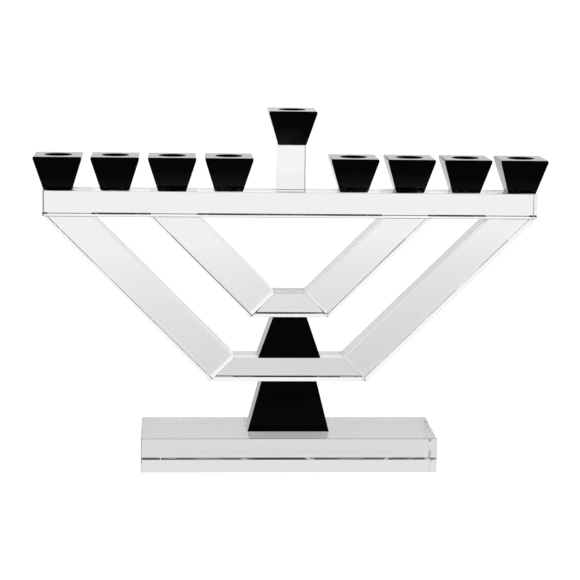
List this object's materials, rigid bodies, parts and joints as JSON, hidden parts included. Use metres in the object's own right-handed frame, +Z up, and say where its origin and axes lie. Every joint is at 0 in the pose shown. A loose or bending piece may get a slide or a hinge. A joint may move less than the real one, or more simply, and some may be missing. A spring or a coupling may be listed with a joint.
{
  "type": "menorah",
  "caption": "Hanukkah menorah of bonded clear crystal bars in a double V, on black crystal stem blocks, with flared square black candle cups.",
  "frame": {"origin": "centre of the base's underside", "axes": "+Z up, -Y the front, +X to the right along the crossbar"},
  "size_m": [0.3514, 0.062, 0.2482],
  "materials": {
    "clear_crystal": "optical crystal, ground and polished flat with fine chamfered edges",
    "black_crystal": "opaque black crystal, polished to a mirror gloss"
  },
  "bodies": {
    "root": {"base_block": "clear_crystal", "outer_bottom_bar": "clear_crystal", "outer_arm_left": "clear_crystal", "outer_arm_right": "clear_crystal", "inner_bottom_bar": "clear_crystal", "inner_arm_left": "clear_crystal", "inner_arm_right": "clear_crystal", "crossbar": "clear_crystal", "shamash_post": "clear_crystal", "lower_stem_block": "black_crystal", "upper_stem_block": "black_crystal", "candle_cup_1": "black_crystal", "candle_cup_2": "black_crystal", "candle_cup_3": "black_crystal", "candle_cup_4": "black_crystal", "candle_cup_5": "black_crystal", "candle_cup_6": "black_crystal", "candle_cup_7": "black_crystal", "candle_cup_8": "black_crystal", "shamash_cup": "black_crystal"}
  },
  "joints": []
}
